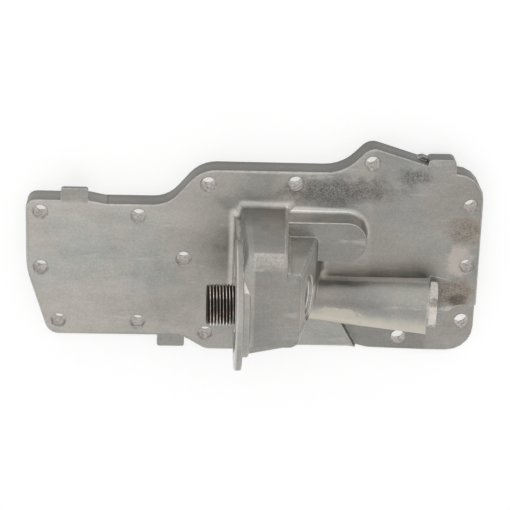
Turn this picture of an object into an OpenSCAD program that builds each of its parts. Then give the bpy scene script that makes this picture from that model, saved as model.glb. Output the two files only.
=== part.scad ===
// Oil filter housing: a die-cast cover flange with the filter head, the feed duct
// and the pressure regulator cast on. It lies on its gasket face.
// X runs along the flange towards the regulator plug, Y across it, Z out of its front.
// The origin is in the gasket plane, at the middle of the flange's overall length and width.

/* [Flange] */
// Overall length of the flange
flange_l = 283.6; // [270:1:300]
// Overall width of the flange
flange_w = 135; // [130:1:142]
// Thickness of the flange from gasket face to front
flange_t = 18; // [16:0.5:22]
// Radius of the front edge
edge_r = 1.8; // [1:0.1:3]
// Thickness of the wall over the pockets behind the flange
wall_t = 6; // [4:0.5:7]
// Height of the lowered corner over the gasket face
low_h = 11; // [10:0.5:13]
// Step from the flange front down to the side lugs
lug_drop = 0.25; // [0.1:0.05:0.6]
// Slant of the ramp to the lowered corner, measured along X
ramp_l = 1; // [0.5:0.5:3]
// Height of the stiffening ribs left free below the gasket face
rib_gap = 2; // [1:0.5:4]
// Thickness of the stiffening ribs
rib_t = 4; // [3:0.5:6]

/* [Bolt holes] */
// Diameter of the bolt holes
bolt_d = 9; // [8:0.1:10]
// Radius of the land around each bolt hole behind the flange
bolt_land_r = 10.5; // [9:0.5:12]
// Distance of the two left end holes from the end
left_hole_in = 8.9; // [8.5:0.1:10]
// Spacing of the two holes at the left end
left_pitch = 36.5; // [34:0.5:38]
// Distance of the three right end holes from the end
right_hole_in = 7.6; // [7.4:0.1:8.5]
// Spacing of the three holes at the right end
right_pitch = 39.7; // [38:0.1:40.5]

/* [Filter head] */
// Distance of the filter axis from the flange front
head_h = 52; // [50:0.5:56]
// Y of the filter axis
head_y = -14.8; // [-16:0.1:-13]
// X of the filter seat face
seat_x = -12.9; // [-13.5:0.1:-12]
// Radius of the filter seat disc
seat_r = 39.5; // [38:0.5:42]
// Thickness of the filter seat disc
seat_t = 4.3; // [4:0.1:5]
// Radius of the hub behind the seat disc
hub_r = 31.5; // [31:0.5:33]
// Length of the hub behind the seat disc
hub_l = 4.2; // [3.6:0.1:5]
// Height of the neck's flat front over the flange front
neck_h = 78; // [76:0.5:82]
// Radius of the cast fillet at the foot of the neck
foot_r = 4.5; // [3:0.5:6]
// Radius of the rounding along the top of the neck
neck_top_r = 5; // [3:0.5:6]
// Outer radius of the inlet ring groove in the seat
groove_ro = 28.7; // [28:0.1:29.5]
// Depth of the inlet ring groove
groove_d = 6; // [5:0.5:7]

/* [Filter nipple] */
// Outer diameter of the nipple over its thread
nipple_d = 25.4; // [24:0.1:26]
// Diameter of the nipple inside the head
nipple_root_d = 24; // [23:0.1:24.6]
// Bore of the nipple
nipple_bore_d = 19; // [17:0.5:20]
// Length of the nipple outside the seat
nipple_out = 17; // [14:0.5:20]
// Length of the nipple screwed into the head
nipple_in = 10; // [8:0.5:12]

/* [Side port] */
// Distance of the port centre from the flange front
port_h = 47.5; // [44:0.5:50]
// Y of the port centre
port_y = -11.1; // [-13:0.1:-10]
// Upward tilt of the port axis in degrees
port_tilt = 16; // [13:0.5:20]
// Diameter of the threaded port bore
port_d = 20; // [18:0.5:22]
// Diameter of the spot face around the port
port_face_d = 28; // [26:0.5:30]

/* [Feed duct] */
// Y of the duct's middle
duct_y = 13.6; // [13:0.1:14.5]
// Width of the duct's front face
duct_w = 25; // [24:0.5:27]
// Height of the duct over the flange front
duct_h = 17.8; // [17:0.1:20]
// X of the duct's closed end
duct_end_x = 68.4; // [66:0.1:72]
// Width of the passage inside the duct
duct_bore_w = 15; // [13:0.5:16]

/* [Pressure regulator] */
// Upward tilt of the regulator axis in degrees
reg_tilt = 9; // [7:0.5:10]
// Distance of the regulator seat face from the flange's right end
reg_in = 33.1; // [32:0.1:35]
// Y of the regulator bore
reg_y = -27.3; // [-28:0.1:-26.5]
// Height of the seat face centre over the flange front
reg_h = 16; // [15:0.5:17]
// Radius of the boss at the plug end
reg_boss_r = 17.6; // [17:0.1:18.5]
// Radius that the boss loses over its length
reg_boss_taper = 4.2; // [3:0.1:4.5]
// Diameter of the plunger bore
reg_bore_d = 20; // [18:0.5:20.5]
// Diameter of the plug's thread
plug_thread_d = 24; // [23:0.5:25]
// Depth of the plug's thread in the boss
plug_thread_l = 13; // [11:0.5:15]
// Hex size of the plug across its flats
plug_af = 27; // [25:0.5:28]
// Thickness of the plug's hex
plug_head_t = 5; // [4:0.5:6]
// Depth of the spring pocket in the plug
plug_pocket_d = 8; // [6:0.5:9]
// Thickness of the sealing washer
washer_t = 1.2; // [1:0.1:2]
// Depth of the plunger seat below the boss face
reg_depth = 60; // [58:0.5:62]
// Diameter of the hole in the plunger seat
reg_seat_d = 12; // [11.5:0.5:13]
// Diameter of the inlet drilled up to the seat from behind
inlet_bore_d = 11; // [9:0.5:11]
// Length of the plunger
plunger_l = 20; // [18:0.5:22]
// Radial clearance of the plunger in its bore
plunger_clear = 0.03; // [0.01:0.01:0.08]
// Wall of the plunger
plunger_wall = 2; // [1.5:0.1:2.2]
// Thickness of the plunger's closed end
plunger_floor = 4; // [3:0.5:5]
// Diameter of the regulator spring's wire
reg_wire_d = 2.2; // [1.8:0.1:2.4]
// Radius of the scoop that lets a socket reach the plug
scoop_r = 21; // [20:0.5:22]

/* [Bypass valve] */
// Outer diameter of the bypass cage
bypass_d = 11; // [10:0.5:11]
// Length of the bypass cage
bypass_l = 10; // [9:0.5:12]
// Wall of the bypass cage
bypass_wall = 0.8; // [0.6:0.1:1]
// Diameter of the hole in the bypass seat
bypass_hole_d = 6.4; // [5:0.2:7]
// Thickness of the bypass disc
bypass_disc_t = 1.2; // [1:0.1:1.6]
// Radial clearance of the bypass disc in its cage
bypass_clear = 0.5; // [0.4:0.1:0.8]
// Diameter of the bypass spring's wire
bypass_wire_d = 0.8; // [0.6:0.1:1]
// Thickness of the clip that holds the bypass spring
clip_t = 0.8; // [0.6:0.1:1.2]

/* [Hidden] */
$fn = 48;
seat_gap = 0.05;
end_x = flange_l / 2;
side_y = flange_w / 2;
left_hole_x = left_hole_in - end_x;
right_hole_x = end_x - right_hole_in;
reg_x = end_x - reg_in;
head_z = flange_t + head_h;
groove_ri = nipple_d / 2 + 4;
bypass_y = head_y;
bypass_z = head_z - (groove_ro + groove_ri) / 2;
pocket_h = flange_t - wall_t;
reg_z = flange_t + reg_h;
reg_bore_r = reg_bore_d / 2;
plunger_r = reg_bore_r - plunger_clear;
boss_l = 78;
boss_y = reg_y - 1;
spill_d = reg_depth - 9.5;
inlet_d = reg_depth + 8;
clean_x = 6.5;
clean_r = 9;
feed_r = 6;
feed_y = head_y + 22.7;

// Corner i of the flange's outline: X, Y and rounding radius, counterclockwise
OUTLINE = [
    [-end_x, side_y - 35.5, 6], [-end_x, -14.1, 50], [-end_x + 13.4, 9.9 - side_y, 9],
    [-44.6, 9.9 - side_y, 4], [-29.3, 0.8 - side_y, 12], [12.7, 0.8 - side_y, 30],
    [30.7, 4.2 - side_y, 30], [62.7, 4.1 - side_y, 15], [74.7, 1.1 - side_y, 15],
    [112.7, -side_y, 30], [end_x, -side_y, 16.5], [end_x, side_y - 15, 17.5],
    [end_x - 19.8, side_y - 14.2, 12], [70.4, side_y + 2.2, 9], [53.7, side_y - 14.6, 26],
    [-34.1, side_y - 14.3, 22], [-54, side_y - 37.5, 20], [-93.5, side_y - 37.5, 6],
    [-102.9, side_y - 35.5, 6]
];

// Bolt hole centres: left end, lower left, three crosswise pairs, middle, lobe, right end, lower right
HOLES = [
    [left_hole_x, -12.4 + left_pitch], [left_hole_x, -12.4], [19.8 - end_x, 19.5 - side_y],
    [-72.2, side_y - 45], [-72.2, 19.1 - side_y], [-43.9, -5.3], [-29.4, 12 - side_y],
    [-29.4, side_y - 23.6], [24.6, side_y - 22.1], [24.6, 11.9 - side_y], [71.6, side_y - 8.4],
    [right_hole_x, -7.5 + right_pitch], [right_hole_x, -7.5], [right_hole_x, -7.5 - right_pitch],
    [94.2, 8.5 - side_y]
];
low_hole = HOLES[13];

// Unit vector from a to b
function unit(a, b) = (b - a) / norm(b - a);

// Arc of n steps that rounds corner p between its neighbours a and b with radius r
function arc(a, p, b, r, n) =
    let (u = unit(p, a), v = unit(p, b), h = acos(u * v) / 2, c = p + (u + v) / norm(u + v) * r / sin(h),
        s = p + u * r / tan(h) - c, t = p + v * r / tan(h) - c, w = 180 - 2 * h)
    [for (k = [0:n]) c + (sin(w * (1 - k / n)) * s + sin(w * k / n) * t) / sin(w)];

// Closed outline with its corners rounded, n steps to a corner
function rounded(v, n = 5) = let (m = len(v))
    [for (i = [0:m - 1]) each arc(xy(v[(i + m - 1) % m]), xy(v[i]), xy(v[(i + 1) % m]), v[i].z, n)];
function xy(p) = [p.x, p.y];

// Corners moved inwards by d, with the rounding kept concentric
function inset(v, d) = let (m = len(v)) [for (i = [0:m - 1])
    let (f = unit(xy(v[(i + m - 1) % m]), xy(v[i])), g = unit(xy(v[i]), xy(v[(i + 1) % m])),
        turn = f.x * g.y - f.y * g.x, q = [-f.y - g.y, f.x + g.x] / (1 + f * g) * d)
    [v[i].x + q.x, v[i].y + q.y, max(0.3, v[i].z - sign(turn) * d)]];

// Solid through a list of rings, each a list of points with X, Y and Z. The first and the last
// ring are closed by triangles round the point c, which sees the whole of each ring.
module loft(rings, c) {
    m = len(rings[0]);
    k = len(rings);
    polyhedron(
        points = concat([for (r = rings) each r],
            [[c.x, c.y, rings[0][0].z], [c.x, c.y, rings[k - 1][0].z]]),
        faces = concat(
            [for (i = [0:m - 1]) [k * m, i, (i + 1) % m]],
            [for (j = [0:k - 2]) for (i = [0:m - 1]) each [
                [j * m + i, (j + 1) * m + (i + 1) % m, j * m + (i + 1) % m],
                [j * m + i, (j + 1) * m + i, (j + 1) * m + (i + 1) % m]]],
            [for (i = [0:m - 1]) [k * m + 1, (k - 1) * m + (i + 1) % m, (k - 1) * m + i]]
        ),
        convexity = 8
    );
}
function at_z(pts, z) = [for (p = pts) [p.x, p.y, z]];

// Way that a fillet of radius r reaches out at height h, and a rounding draws in below a top at t
function flare(r, h) = h >= r ? 0 : r - sqrt(max(0, r * r - (r - max(0, h)) * (r - max(0, h))));
function draw_in(r, h, t) = h <= t - r ? 0 : r - sqrt(max(0, r * r - (h - t + r) * (h - t + r)));
function smooth(s) = s <= 0 ? 0 : s >= 1 ? 1 : s * s * (3 - 2 * s);

// Puts children on the regulator's axis: local X points out of the boss, its face is at 0
module on_reg(d = 0) {
    translate([reg_x, reg_y, reg_z])
        rotate([0, -reg_tilt, 0])
            translate([d, 0, 0])
                children();
}

// Round bar along +X from x0 to x1
module bar_x(x0, x1, r, r2 = undef) {
    translate([x0, 0, 0])
        rotate([0, 90, 0])
            cylinder(h = x1 - x0, r1 = r, r2 = is_undef(r2) ? r : r2);
}

// Flange plate with its drafted, rounded front edge
module flange_plate() {
    steps = [[0, 0], [0, flange_t - edge_r], [0.134, flange_t - 0.5 * edge_r],
        [0.5, flange_t - 0.134 * edge_r], [1, flange_t]];
    loft([for (s = steps) at_z(rounded(inset(OUTLINE, s[0] * edge_r)), s[1])], [10, -5]);
}

// Lowered corner: its upper edge follows the boss and swings round the corner bolt
module lowered_corner() {
    r = 13.4;
    rings = [[low_h, ramp_l], [flange_t, 0], [flange_t + 5, 0]];
    loft([for (q = rings) at_z(concat(
        [[73.6 + q[1], -side_y - 10], [end_x + 10, -side_y - 10], [end_x + 10, low_hole.y + r]],
        [for (a = [90:15:180]) low_hole + r * [cos(a), sin(a)]],
        [[56.3 + q[1], low_hole.y]]), q[0])], low_hole - [9, 13]);
}

// Side lug with corners from a to b, from height z0 to just under the front
module lug(a, b, z0, r = 1.5) {
    translate([0, 0, z0])
        linear_extrude(flange_t - lug_drop - z0)
            polygon(rounded([[a.x, a.y, r], [b.x, a.y, r], [b.x, b.y, r], [a.x, b.y, r]], 3));
}

// Broken-off gate between the rim and the right lug
module gate_stub() {
    translate([end_x - 40.5, side_y - 12, flange_t - 15.5])
        linear_extrude(6)
            polygon([[-1, 0], [5.5, 0], [5.5, 4.6], [2.4, 6], [-1, 5.2]]);
}

// Ring of the neck at height h over the flange front: drafted walls, belly, foot fillet, top rounding.
// Its left end carries the seat disc: a web under the disc, and a slant from the disc to the wall.
function neck_ring(h) =
    let (f = flare(foot_r, h), s = h / neck_h, t = draw_in(neck_top_r, h, neck_h),
        t1 = draw_in(0.8, h, neck_h), t2 = draw_in(1, h, neck_h), u = max(0, h - 36) / 42,
        xl = seat_x + 0.9 - f + t1, xc = seat_x + 3.4 - 0.7 * f + t1, xb = -7.6 + 1.5 * s - 0.5 * f + t1,
        xa = 20.7 - 4 * s + f - t1, xr = 42.9 - 0.2309 * h + f - t1,
        ya = 30.2 - 2.7 * s + f - t, yb = 17.7 - 3.9 * s + f - t,
        yc = (h < 36 ? 23.9 : 24.7) - 4.3 * u - 4.3 * u * u + f - t, yl = yc - 0.3 - 5.5 * u,
        ym = -26.8 - 4.8 * smooth(h / 62) - f + t2)
    rounded([[xl, ym, 5], [xr, ym, 6], [xr, yb, 3], [xa, yb, 2.5], [xa, ya, 3], [xb, ya, 1],
        [xc, yc, 0.6], [xl, yl, 0.6]], 4);

// Neck between flange and filter seat
module neck() {
    hs = concat([-4, 0, 0.2 * foot_r, 0.5 * foot_r, foot_r, 12, 22, 32, 35.6, 36.1, 44, 52, 60, 67],
        [for (q = [1, 0.7, 0.4, 0.15, 0.05, 0]) neck_h - q * neck_top_r]);
    loft([for (h = hs) at_z(neck_ring(h), flange_t + h)], [6, 0]);
}

// Seat disc, hub and conical flank round the filter axis
module seat_disc() {
    c = 0.8;
    back = seat_x + seat_t;
    translate([0, head_y, head_z])
        rotate([0, 90, 0])
            rotate_extrude($fn = 96)
                polygon([[0, seat_x], [seat_r - c, seat_x], [seat_r, seat_x + c], [seat_r, back - 0.6],
                    [seat_r - 0.6, back], [hub_r + 1.2, back], [hub_r + 0.35, back + 0.35], [hub_r, back + 1.2],
                    [hub_r, back + hub_l - 0.8], [hub_r - 0.8, back + hub_l], [0, back + hub_l]]);
}
module flank() {
    back = seat_x + seat_t + hub_l;
    intersection() {
        translate([0, head_y, head_z])
            bar_x(back - 1, back + 21, hub_r - 1.9, hub_r - 6.1);
        translate([-50, head_y - 60, flange_t + 8])
            cube([100, 100, 58]);
    }
}

// Ring of the duct at height h: rounded closed end, draft, foot fillet and rounded top edge
function duct_ring(h) =
    let (f = flare(3.2, h) + (duct_h - h) * tan(4) - draw_in(0.8, h, duct_h), w = duct_w / 2 + f)
    rounded([[12, duct_y - w, 1], [duct_end_x + f, duct_y - w, w - 0.3],
        [duct_end_x + f, duct_y + w, w - 0.3], [12, duct_y + w, 1]], 8);
module duct() {
    hs = [-4, 0, 0.6, 1.6, 3.2, 10, duct_h - 0.8, duct_h - 0.4, duct_h - 0.12, duct_h];
    loft([for (h = hs) at_z(duct_ring(h), flange_t + h)], [40, duct_y]);
}

// Tapered regulator boss, carried down to the flange on its outer side
module regulator_boss() {
    translate([0, boss_y - reg_y, 0])
        on_reg()
            bar_x(-boss_l, 0.5, reg_boss_r - reg_boss_taper, reg_boss_r);
    back_x = reg_x - boss_l;
    r0 = 0.93 * (reg_boss_r - reg_boss_taper);
    r1 = 0.93 * reg_boss_r;
    intersection() {
        translate([0, boss_y, 0])
            rotate([90, 0, 0])
                linear_extrude(30)
                    polygon([[back_x, 9], [reg_x + (reg_z - 9) * tan(reg_tilt) - 0.4, 9], [reg_x - 0.4, reg_z],
                        [back_x, reg_z - boss_l * sin(reg_tilt)]]);
        translate([0, boss_y, 0])
            linear_extrude(80)
                polygon([[back_x, 1], [back_x, -r0], [reg_x + 6, -r1], [reg_x + 6, 1]]);
    }
}

// Pocket behind the flange, with the lands of the bolt holes left standing
module pocket(v, h) {
    translate([0, 0, -1])
        linear_extrude(h + 1)
            difference() {
                polygon(rounded(v, 4));
                for (p = HOLES)
                    translate(p)
                        circle(bolt_land_r, $fn = 32);
            }
}
module pockets() {
    pocket([[22.8 - end_x, -45, 8], [-80, -45, 8], [-80, 18, 8], [20.8 - end_x, 20, 8]], pocket_h);
    pocket([[-64, -45, 6], [-40.5, -45, 6], [-52.2, -5.3, 8], [-46, 18, 6], [-64, 18, 6]], pocket_h);
    pocket([[-23, -52, 6], [15, -52, 6], [15, -4, 6], [-11, -4, 6], [-11, 41, 6], [-22, 41, 6],
        [-35.6, -5.3, 12]], pocket_h);
    difference() {
        pocket([[33, -50, 6], [47, -50, 5], [54, -39, 5], [103, -39, 6], [103, -8, 8], [end_x - 20.8, -8, 6],
            [end_x - 20.8, 39, 8], [88, 47, 20], [60, 46, 12], [52, 41, 8], [33, 41, 6]], pocket_h);
        translate([48.5, -60, -2])
            linear_extrude(pocket_h + 2)
                polygon(rounded([[0, 0, 1], [22, 0, 1], [22, 45, 6], [0, 45, 6]], 4));
    }
}

// Stiffening ribs across the pockets
module ribs() {
    for (r = [[-102, -46, rib_t, 66], [-121, -14, 43, rib_t], [-62, -14, 10, rib_t], [74, -10, rib_t, 57],
        [98, -9, rib_t, 54], [34, -12, 88, rib_t], [-14, -52, rib_t, 40]])
        translate([r[0], r[1], rib_gap])
            cube([r[2], r[3], pocket_h - rib_gap + 1]);
}

// Oil ways cored and drilled through the head, the duct and the boss
module oil_ways() {
    // Clean oil, from the nipple down to the gallery behind the flange
    translate([clean_x, head_y, -1])
        cylinder(h = head_z + 5, r = clean_r);
    // Feed, along the duct from behind and up to the ring groove
    translate([0, duct_y, -1])
        linear_extrude(flange_t + duct_h - 5)
            union() {
                translate([clean_x, -duct_bore_w / 2])
                    square([duct_end_x - duct_w / 2 - clean_x, duct_bore_w]);
                translate([clean_x, 0])
                    circle(d = duct_bore_w);
                translate([duct_end_x - duct_w / 2, 0])
                    circle(d = duct_bore_w);
            }
    translate([clean_x, feed_y + 2, flange_t])
        cylinder(h = head_h, r = feed_r);
    translate([0, feed_y, head_z])
        bar_x(seat_x + groove_d - 1, clean_x, feed_r - 0.5);
    // Ring groove in the seat
    translate([0, head_y, head_z])
        difference() {
            bar_x(seat_x - 1, seat_x + groove_d, groove_ro);
            bar_x(seat_x - 2, seat_x + groove_d + 1, groove_ri);
        }
}

// Bores that other pieces sit in
module bores() {
    translate([0, head_y, head_z])
        bar_x(seat_x - 1, seat_x + nipple_in + 4, nipple_root_d / 2);
    translate([0, bypass_y, bypass_z])
        bar_x(seat_x + groove_d - 1, clean_x, bypass_d / 2);
    // Side port with its spot face
    translate([42.9 - 0.2309 * port_h, port_y, flange_t + port_h])
        rotate([0, -port_tilt, 0]) {
            bar_x(-26, 10, port_d / 2);
            bar_x(-1.2, 10, port_face_d / 2);
        }
    // Regulator: plug thread, plunger bore, seat hole, inlet and spill way
    on_reg() {
        bar_x(-plug_thread_l - 3, 1, plug_thread_d / 2);
        bar_x(-reg_depth, 1, reg_bore_r);
        bar_x(-reg_depth - 12, -reg_depth + 1, reg_seat_d / 2);
    }
    translate([reg_x - inlet_d * cos(reg_tilt), reg_y, -1])
        cylinder(h = reg_z - inlet_d * sin(reg_tilt) + 1, d = inlet_bore_d);
    translate([reg_x - (spill_d + 4) * cos(reg_tilt), reg_y - 6, -1])
        cube([9, 12, reg_z - spill_d * sin(reg_tilt) - 4]);
}

// The whole casting
module housing() {
    color([0.66, 0.65, 0.62])
        difference() {
            union() {
                difference() {
                    union() {
                        flange_plate();
                        lug([21.8 - end_x, side_y - 39.5], [38.5 - end_x, side_y - 28], flange_t - 4.5);
                        lug([end_x - 35.8, side_y - 22.5], [end_x - 18.2, side_y - 5.4], flange_t - 13.5, 3);
                        lug([-59.9, 2.8 - side_y], [-42.6, 15.5 - side_y], flange_t - 12);
                        gate_stub();
                    }
                    lowered_corner();
                    pockets();
                }
                ribs();
                neck();
                seat_disc();
                flank();
                duct();
                regulator_boss();
            }
            on_reg()
                bar_x(0, 48, scoop_r);
            oil_ways();
            bores();
            for (p = HOLES)
                translate([p.x, p.y, -1])
                    cylinder(h = flange_t + 2, d = bolt_d, $fn = 32);
        }
}

// Threaded tube that the filter screws on, with a neck next to the seat and in the head
module filter_nipple() {
    c = 1;
    r = nipple_d / 2;
    rr = nipple_root_d / 2;
    color([0.16, 0.13, 0.11])
        translate([0, head_y, head_z])
            rotate([0, 90, 0])
                rotate_extrude()
                    polygon([[nipple_bore_d / 2, seat_x - nipple_out], [r - c, seat_x - nipple_out],
                        [r, seat_x - nipple_out + c], [r, seat_x - 1], [rr, seat_x - 1],
                        [rr, seat_x + nipple_in], [nipple_bore_d / 2, seat_x + nipple_in]]);
}

// Hex plug: chamfered head, threaded shank and spring pocket
module regulator_plug() {
    ac = plug_af / cos(30);
    color([0.78, 0.77, 0.74])
        on_reg(washer_t)
            difference() {
                union() {
                    intersection() {
                        rotate([30, 0, 0])
                            rotate([0, 90, 0])
                                cylinder(h = plug_head_t, d = ac, $fn = 6);
                        rotate([0, 90, 0])
                            rotate_extrude()
                                polygon([[0, 0], [ac / 2 + 1, 0], [ac / 2 + 1, plug_head_t - 1.6],
                                    [plug_af / 2 - 0.6, plug_head_t], [0, plug_head_t]]);
                    }
                    bar_x(-plug_thread_l - washer_t, 1, plug_thread_d / 2);
                }
                bar_x(-plug_thread_l - washer_t - 1, -plug_thread_l - washer_t + plug_pocket_d,
                    reg_bore_r - plunger_wall);
            }
}

// Soft ring under the hex
module regulator_washer() {
    color([0.7, 0.7, 0.69])
        on_reg()
            difference() {
                bar_x(0, washer_t, plug_af / 2 + 0.4);
                bar_x(-1, washer_t + 1, plug_thread_d / 2 + 0.1);
            }
}

// Hollow plunger with its nose on the seat
module regulator_plunger() {
    color([0.6, 0.6, 0.6])
        on_reg(-reg_depth)
            rotate([0, 90, 0])
                rotate_extrude()
                    polygon([[0, 0], [plunger_r - 1, 0], [plunger_r, 1], [plunger_r, plunger_l],
                        [reg_bore_r - plunger_wall, plunger_l], [reg_bore_r - plunger_wall, plunger_floor],
                        [0, plunger_floor]]);
}

// Coil spring along +X from 0 to l: mean radius rm, wire radius rw, n turns, closed end turns
module coil(l, rm, rw, n, sides) {
    seg = 12;
    steps = n * seg;
    rise = 2 * rw + 0.1;
    z0 = rw + seat_gap;
    span = l - 2 * z0;
    pts = [for (i = [0:steps]) let (a = 360 * i / seg, t = i / seg,
        x = z0 + (t < 1 ? t * rise : t > n - 1 ? span - (n - t) * rise
            : rise + (t - 1) / (n - 2) * (span - 2 * rise)))
        for (k = [0:sides - 1]) let (b = 360 * k / sides)
            [x + rw * sin(b), (rm + rw * cos(b)) * cos(a), (rm + rw * cos(b)) * sin(a)]];
    polyhedron(points = pts, faces = concat(
        [[for (k = [sides - 1:-1:0]) k]],
        [for (i = [0:steps - 1]) for (k = [0:sides - 1]) each [
            [i * sides + k, (i + 1) * sides + (k + 1) % sides, (i + 1) * sides + k],
            [i * sides + k, i * sides + (k + 1) % sides, (i + 1) * sides + (k + 1) % sides]]],
        [[for (k = [0:sides - 1]) steps * sides + k]]
    ), convexity = 10);
}

// Regulator spring between the plunger's floor and the plug's pocket
module regulator_spring() {
    from = -reg_depth + plunger_floor;
    to = -plug_thread_l + plug_pocket_d;
    color([0.35, 0.34, 0.33])
        on_reg(from)
            coil(to - from, reg_bore_r - plunger_wall - 0.4 - reg_wire_d / 2, reg_wire_d / 2, 9, 8);
}

// Puts children on the bypass axis: local X runs into the head from the groove floor
module on_bypass(d = 0) {
    translate([seat_x + groove_d + d, bypass_y, bypass_z])
        children();
}

// Pressed cage with the valve seat in its front wall
module bypass_cage() {
    ri = bypass_d / 2 - bypass_wall;
    color([0.7, 0.68, 0.6])
        on_bypass()
            difference() {
                bar_x(0, bypass_l, bypass_d / 2);
                bar_x(bypass_wall * 1.5, bypass_l + 1, ri);
                bar_x(-1, bypass_l, bypass_hole_d / 2);
            }
}

// Valve disc on its seat inside the cage
module bypass_disc() {
    color([0.55, 0.55, 0.55])
        on_bypass(bypass_wall * 1.5)
            bar_x(0, bypass_disc_t, bypass_d / 2 - bypass_wall - bypass_clear);
}

// Bypass spring between the disc and the clip
module bypass_spring() {
    from = bypass_wall * 1.5 + bypass_disc_t;
    color([0.4, 0.4, 0.4])
        on_bypass(from)
            coil(bypass_l - clip_t - from, bypass_d / 2 - bypass_wall - bypass_clear - bypass_wire_d / 2 - 0.1,
                bypass_wire_d / 2, 5, 6);
}

// Snap ring at the open end of the cage
module bypass_clip() {
    ri = bypass_d / 2 - bypass_wall;
    color([0.5, 0.5, 0.5])
        on_bypass(bypass_l - clip_t)
            difference() {
                bar_x(0, clip_t, ri);
                bar_x(-1, clip_t + 1, ri - 2 * bypass_wire_d);
            }
}

housing();
filter_nipple();
regulator_plug();
regulator_washer();
regulator_spring();
regulator_plunger();
bypass_cage();
bypass_disc();
bypass_spring();
bypass_clip();
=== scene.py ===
"""Looks of the oil filter housing: the stained casting, its cut threads, the bright
regulator plug and the small valve parts, with a plain studio round them.

Everything is in metres in the frame of the solids: X along the flange towards the
regulator plug, Y across it, Z out of its front, and the gasket face at Z = 0.
"""

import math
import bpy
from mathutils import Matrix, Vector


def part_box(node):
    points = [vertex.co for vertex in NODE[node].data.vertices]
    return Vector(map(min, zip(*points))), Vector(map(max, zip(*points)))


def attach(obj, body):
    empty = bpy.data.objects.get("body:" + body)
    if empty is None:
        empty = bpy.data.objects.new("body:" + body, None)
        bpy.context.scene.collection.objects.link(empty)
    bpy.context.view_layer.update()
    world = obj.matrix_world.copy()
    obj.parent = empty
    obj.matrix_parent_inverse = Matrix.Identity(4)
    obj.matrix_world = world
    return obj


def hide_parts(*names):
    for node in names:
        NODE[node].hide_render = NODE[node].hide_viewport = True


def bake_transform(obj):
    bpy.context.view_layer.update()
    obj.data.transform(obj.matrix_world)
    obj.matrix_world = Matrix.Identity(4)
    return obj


bl_info = {
    "name": "Oil Filter Housing Looks",
    "version": (1, 0, 0),
    "blender": (4, 5, 0),
    "location": "View3D > Sidebar > Housing",
    "description": "Finishes the packed solids of an oil filter housing",
    "category": "Object",
}

import bmesh
import bpy
import numpy as np
from bpy.props import FloatProperty, FloatVectorProperty, IntProperty, PointerProperty
from mathutils import Matrix, Vector

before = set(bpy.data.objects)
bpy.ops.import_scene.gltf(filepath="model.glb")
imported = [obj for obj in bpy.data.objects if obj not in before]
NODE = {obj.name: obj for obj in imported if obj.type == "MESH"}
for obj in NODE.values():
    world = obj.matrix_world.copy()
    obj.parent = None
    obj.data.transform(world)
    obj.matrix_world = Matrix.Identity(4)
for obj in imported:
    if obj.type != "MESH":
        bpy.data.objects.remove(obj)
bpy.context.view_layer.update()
MM = 0.001

# Places and sizes on the object that the finish needs, in millimetres and degrees
FLANGE_TOP = 18.0
LOW_TOP = 11.0
HEAD_Y, HEAD_Z = -14.8, 70.0
SEAT_X, SEAT_R, GROOVE_DEPTH = -12.9, 39.4, 6.2
NIPPLE_BORE_R, NIPPLE_NECK_R = 9.5, 11.4
PORT_AT, PORT_TILT = (31.932, -11.1, 65.5), 16.0
PORT_WALL_R, PORT_ROOT_R = 9.98, 9.93
PORT_THREAD = (-16.0, -1.9)
PLUG_AT, PLUG_TILT = (108.7, -27.3, 34.0), 9.0
BOSS_Y, BOSS_R, BOSS_TAPER = -28.3, 11.75, 0.0538
BYPASS_Z = 47.3
HOLE_R = 4.5
HOLES = (
    (-132.9, 24.1), (-132.9, -12.4), (-122.0, -48.0), (-72.2, 22.5), (-72.2, -48.4),
    (-43.9, -5.3), (-29.4, -55.5), (-29.4, 43.9), (24.6, 45.4), (24.6, -55.6),
    (71.6, 59.1), (134.2, 32.2), (134.2, -7.5), (134.2, -47.2), (94.2, -59.0),
)
# Cut round an axis: a point on it, its tilt, and the radius and depth of the cut
TURNED = ((PORT_AT, PORT_TILT, 14.1, 30), (PLUG_AT, PLUG_TILT, 12.1, 75))

# Patches: centre and half sizes in millimetres, and where the ragged rim starts and ends
PATCHES = {
    # Darker patch beside the nipple
    "darker beside nipple": ((-50, -28, 18), (27, 25, 9), 0.4, 1.1),
    "soot": ((50, 41, 18), (42, 12, 9), 0.40, 1.05),
    "smudge": ((97, 51, 18), (15, 8, 9), 0.25, 1.0),
    "foot": ((-3, 33, 18), (32, 7, 8), 0.3, 1.1),
    "rubbed": ((129.5, -4, 18), (12.5, 18, 9), 0.45, 0.8),
    "scoop": ((128, -26, 17), (17, 12, 13), 0.5, 1.0),
    "corner": ((131, 16, 18), (15, 13, 9), 0.3, 1.0),
    "left": ((-116, 40, 16), (32, 11, 14), 0.5, 1.05),
    "trail": ((78, -9, 18), (34, 7, 8), 0.3, 1.1),
    "burnt": ((130, -31, 16), (9, 5, 9), 0.3, 1.0),
    "crust": ((54, -31, 38), (22, 4.5, 9), 0.55, 0.75),
    "gate": ((-12.2, 25.0, 38), (3.4, 3.6, 23), 0.55, 1.0),
    "plug ridge": ((112, -20.5, 47.5), (5, 3.6, 3.6), 0.5, 1.1),
}

# Colours of single marks
SCRATCH = (0.50, 0.49, 0.46)
RUBBED = (0.55, 0.49, 0.435)
BURNT = (0.045, 0.038, 0.032)
GLAZE_AND_HIGHLIGHT = (0.64, 0.57, 0.465)
PARTING_LINE_HIGHLIGHT = (0.78, 0.76, 0.72)
CRUST = (0.56, 0.52, 0.44)
HOLE_GRIME = (0.12, 0.10, 0.08)
HOLE_WALL = (0.70, 0.665, 0.62)
HOLE_MARKS = (0.22, 0.18, 0.14)
EDGE_WEAR_AND_HIGHLIGHT = (0.84, 0.82, 0.78)
STEEL_OIL = (0.10, 0.075, 0.05)
PLUG_FACET_SHADE = (0.36, 0.335, 0.295)
PLUG_STAIN = (0.17, 0.145, 0.115)
THREAD_CREST = (0.80, 0.76, 0.69)
THREAD_RUST = (0.40, 0.31, 0.235)
THREAD_ROOT = (0.042, 0.035, 0.029)

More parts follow.
